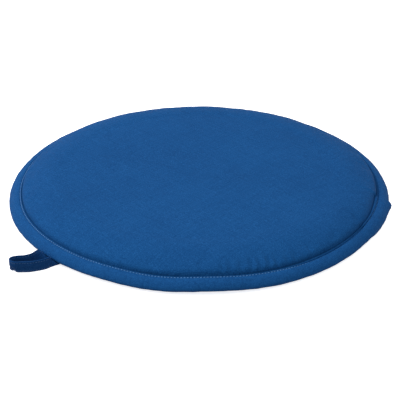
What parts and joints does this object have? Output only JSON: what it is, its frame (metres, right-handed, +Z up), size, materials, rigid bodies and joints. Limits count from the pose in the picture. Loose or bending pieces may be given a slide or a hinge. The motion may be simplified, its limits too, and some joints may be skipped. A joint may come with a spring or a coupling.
{
  "type": "round seat cushion",
  "caption": "Thin round seat cushion: domed foam pad in a woven cover, edge bound with folded tape, with a small hanging loop sewn under the rim.",
  "frame": {"origin": "middle of the underside, on the surface that the pad lies on", "axes": "+Z up out of the domed top; the hanging loop points along -Y; +X to the right when the loop points at you"},
  "size_m": [0.34, 0.3729, 0.024],
  "materials": {
    "cover_fabric": "matte",
    "underside_fabric": "matte",
    "binding_tape": "matte",
    "loop_tape": "matte",
    "sewing_thread": "matte",
    "foam": "matte"
  },
  "bodies": {
    "pad": {"foam_core": "foam", "top_cover": "cover_fabric", "bottom_cover": "underside_fabric", "edge_binding": "binding_tape", "needle_thread": "sewing_thread", "bobbin_thread": "sewing_thread", "loop_tail_right": "loop_tape", "loop_tail_left": "loop_tape"},
    "loop": {"hanging_loop": "loop_tape", "loop_stitching": "sewing_thread"}
  },
  "joints": [
    {"name": "loop_fold", "type": "hinge", "parent": "pad", "child": "loop", "pos_m": [0.0011, -0.1712, 0.0015], "axis": [-1, 0, 0], "range_deg": [-120, 90]}
  ]
}
